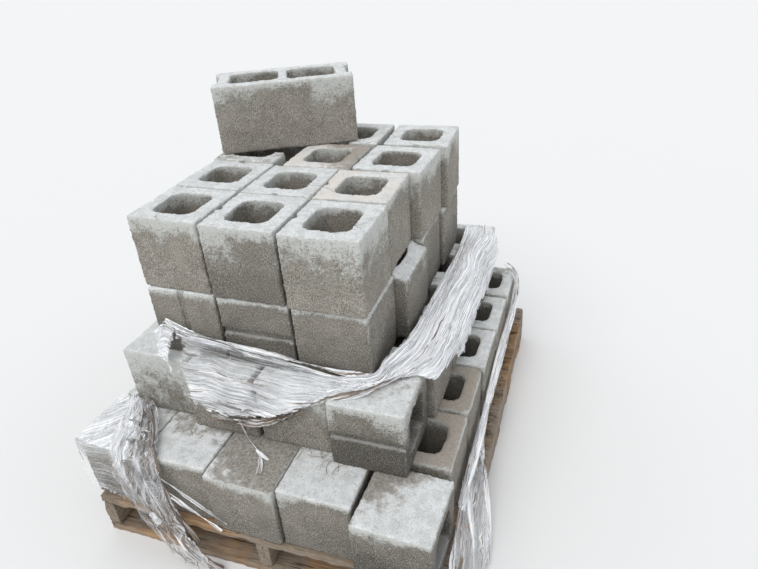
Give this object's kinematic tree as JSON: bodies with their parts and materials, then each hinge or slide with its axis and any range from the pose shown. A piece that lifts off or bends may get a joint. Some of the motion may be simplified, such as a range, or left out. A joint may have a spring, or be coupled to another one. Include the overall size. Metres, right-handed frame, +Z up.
{
  "type": "pallet of concrete blocks",
  "caption": "Wooden pallet of hollow concrete half blocks dry-stacked in stepped tiers, with a two-core block laid askew on top and torn stretch film.",
  "frame": {"origin": "middle of the pallet's underside, on the ground", "axes": "+X along the deck boards, to the right as seen from the front; +Y along the stringers, from front to back; +Z up"},
  "size_m": [1.0913, 1.2588, 1.1075],
  "materials": {
    "concrete": "rough",
    "pallet_wood": "rough",
    "stretch_film": "gloss"
  },
  "bodies": {
    "root": {"bottom_tier_bullnose_block": "concrete", "bottom_tier_row_1_blocks": "concrete", "bottom_tier_row_2_blocks": "concrete", "bottom_tier_row_3_blocks": "concrete", "bottom_tier_row_4_blocks": "concrete", "bottom_tier_row_5_blocks": "concrete", "bottom_tier_row_6_blocks": "concrete", "lower_left_stretch_film": "stretch_film", "lower_right_stretch_film": "stretch_film", "pallet_bottom_board_1": "pallet_wood", "pallet_bottom_board_2": "pallet_wood", "pallet_bottom_board_3": "pallet_wood", "pallet_bottom_board_4": "pallet_wood", "pallet_bottom_board_5": "pallet_wood", "pallet_left_stringer": "pallet_wood", "pallet_middle_stringer": "pallet_wood", "pallet_right_stringer": "pallet_wood", "pallet_top_board_1": "pallet_wood", "pallet_top_board_2": "pallet_wood", "pallet_top_board_3": "pallet_wood", "pallet_top_board_4": "pallet_wood", "pallet_top_board_5": "pallet_wood", "pallet_top_board_6": "pallet_wood", "pallet_top_board_7": "pallet_wood", "second_tier_corner_sash_block": "concrete", "second_tier_row_1_blocks": "concrete", "second_tier_row_2_blocks": "concrete", "second_tier_row_3_blocks": "concrete", "second_tier_row_4_blocks": "concrete", "second_tier_row_5_blocks": "concrete", "third_tier_chipped_block": "concrete", "third_tier_row_1_blocks": "concrete", "third_tier_row_2_blocks": "concrete", "third_tier_row_3_blocks": "concrete", "third_tier_row_4_blocks": "concrete", "top_tier_broken_block": "concrete", "top_tier_row_1_left_block": "concrete", "top_tier_row_1_middle_block": "concrete", "top_tier_row_1_right_block": "concrete", "top_tier_row_2_left_block": "concrete", "top_tier_row_2_middle_block": "concrete", "top_tier_row_2_right_block": "concrete", "top_tier_row_3_middle_block": "concrete", "top_tier_row_3_right_block": "concrete", "top_tier_row_4_left_block": "concrete", "top_tier_row_4_middle_block": "concrete", "top_tier_row_4_right_block": "concrete", "two_core_block": "concrete", "upper_stretch_film": "stretch_film"}
  },
  "joints": []
}
